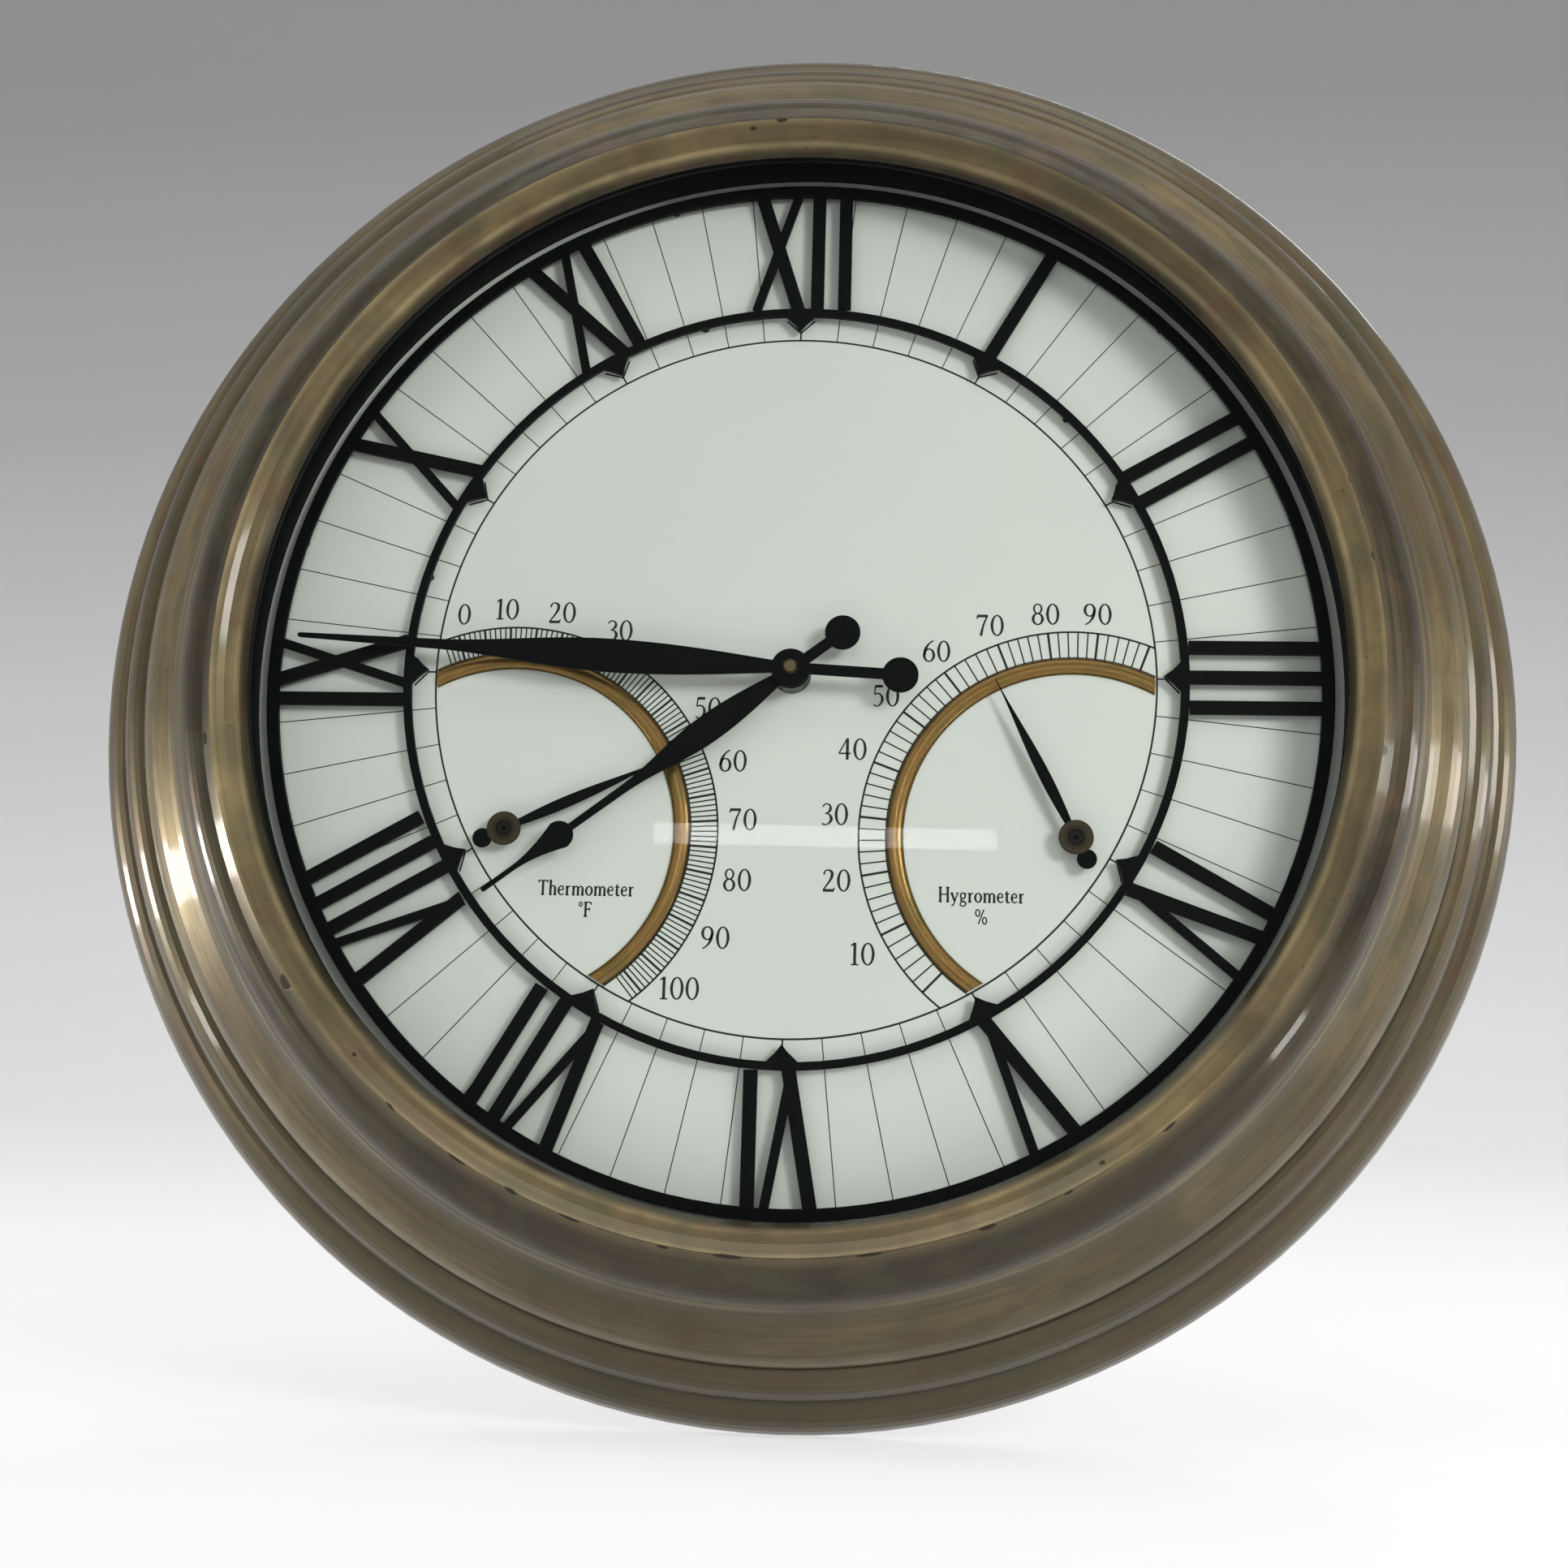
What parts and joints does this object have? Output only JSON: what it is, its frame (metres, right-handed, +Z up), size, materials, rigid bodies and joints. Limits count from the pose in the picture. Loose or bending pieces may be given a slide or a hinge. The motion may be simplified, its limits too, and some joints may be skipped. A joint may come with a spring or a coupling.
{
  "type": "outdoor wall clock with thermometer and hygrometer",
  "caption": "Round wall clock with a stepped metal frame, raised openwork Roman numerals, a temperature dial and a humidity dial, and a hinged battery door at the back.",
  "frame": {"origin": "on the wall plane at the dial's centre axis, where the rear face of the back meets the axis of the hands", "axes": "+Z up, +X to the viewer's right, the dial faces -Y and the wall is at Y = 0 with +Y into the wall"},
  "size_m": [0.61, 0.079, 0.61],
  "materials": {
    "frame_paint": "antiqued pewter-bronze paint, brushed round the frame, semi-gloss",
    "clear_glass": "clear flat glass",
    "black_rubber": "matte",
    "black_paint": "satin black enamel",
    "dial_face": "printed pale grey-green enamel, matte",
    "zinc_steel": "zinc plated",
    "nickel_plate": "bright nickel",
    "aged_brass": "aged brass",
    "plain_brass": "turned brass",
    "aluminium_plain": "plain rivet aluminium",
    "black_aluminium": "satin black enamel on sheet aluminium",
    "black_plastic": "fine texture",
    "wheel_plastic": "moulded acetal",
    "battery_can": "plain printed sleeve",
    "circuit_green": "solder mask",
    "copper_wire": "enamelled copper wire",
    "bimetal_strip": "rolled strip"
  },
  "bodies": {
    "case": {"bezel": "frame_paint", "glass": "clear_glass", "glass_gasket": "black_rubber", "dial_surround": "black_paint", "dial_plate": "dial_face", "dial_screws": "zinc_steel", "numeral_ring": "black_paint", "ring_standoffs": "black_paint", "temperature_arc": "aged_brass", "humidity_arc": "aged_brass", "back_ring": "zinc_steel", "back_board": "black_plastic", "back_screws": "zinc_steel", "hanger_plate": "zinc_steel", "hanger_rivets": "aluminium_plain", "door_pin": "zinc_steel", "movement_case": "black_plastic", "movement_cover": "black_plastic", "rubber_washer": "black_rubber", "dial_washer": "zinc_steel", "hex_nut": "nickel_plate", "battery": "battery_can", "battery_contacts": "nickel_plate", "circuit_board": "circuit_green", "motor_coil": "copper_wire", "motor_stator": "zinc_steel", "thermometer_cup": "black_plastic", "thermometer_coil": "bimetal_strip", "hygrometer_cup": "black_plastic", "hygrometer_coil": "bimetal_strip", "sensor_nuts": "nickel_plate", "cup_covers": "black_plastic"},
    "minute": {"minute_arbor": "plain_brass", "minute_hand": "black_aluminium", "cap_nut": "aged_brass"},
    "hour": {"hour_wheel": "wheel_plastic", "hour_hand": "black_aluminium"},
    "intermediate": {"intermediate_wheel": "wheel_plastic"},
    "third": {"third_wheel": "wheel_plastic"},
    "seconds": {"seconds_wheel": "wheel_plastic"},
    "knob": {"setting_knob": "wheel_plastic"},
    "temperature": {"temperature_staff": "zinc_steel", "temperature_pointer": "black_aluminium", "temperature_hub": "aged_brass"},
    "humidity": {"humidity_staff": "zinc_steel", "humidity_pointer": "black_aluminium", "humidity_hub": "aged_brass"},
    "door": {"access_door": "black_plastic"}
  },
  "joints": [
    {"name": "minute_turn", "type": "hinge", "parent": "case", "child": "minute", "pos_m": [0, -0.04, 0], "axis": [0, 1, 0], "continuous": true},
    {"name": "hour_turn", "type": "hinge", "parent": "case", "child": "hour", "pos_m": [0, -0.04, 0], "axis": [0, 1, 0], "continuous": true},
    {"name": "intermediate_turn", "type": "hinge", "parent": "case", "child": "intermediate", "pos_m": [-0.00849, -0.034, 0.00849], "axis": [0, 1, 0], "continuous": true},
    {"name": "third_turn", "type": "hinge", "parent": "case", "child": "third", "pos_m": [0.01091, -0.03, 0.0063], "axis": [0, 1, 0], "continuous": true},
    {"name": "seconds_turn", "type": "hinge", "parent": "case", "child": "seconds", "pos_m": [0.01601, -0.028, 0.01513], "axis": [0, 1, 0], "continuous": true},
    {"name": "knob_turn", "type": "hinge", "parent": "case", "child": "knob", "pos_m": [-0.01832, -0.02, 0.01537], "axis": [0, 1, 0], "continuous": true},
    {"name": "temperature_turn", "type": "hinge", "parent": "case", "child": "temperature", "pos_m": [-0.11599, -0.045, -0.06751], "axis": [0, 1, 0], "range_deg": [-87, 76], "stiffness_Nm_per_rad": 0.002},
    {"name": "humidity_turn", "type": "hinge", "parent": "case", "child": "humidity", "pos_m": [0.11599, -0.045, -0.06751], "axis": [0, 1, 0], "range_deg": [-115, 48], "stiffness_Nm_per_rad": 0.002},
    {"name": "door_hinge", "type": "hinge", "parent": "case", "child": "door", "pos_m": [0.048, -0.0023, 0], "axis": [0, 0, -1], "range_deg": [0, 95]}
  ],
  "couplings": [
    {"joint": "hour_turn", "follows": "minute_turn", "ratio": 0.083333},
    {"joint": "intermediate_turn", "follows": "minute_turn", "ratio": -0.33333},
    {"joint": "third_turn", "follows": "minute_turn", "ratio": -8},
    {"joint": "seconds_turn", "follows": "minute_turn", "ratio": 60},
    {"joint": "knob_turn", "follows": "minute_turn", "ratio": 1}
  ]
}
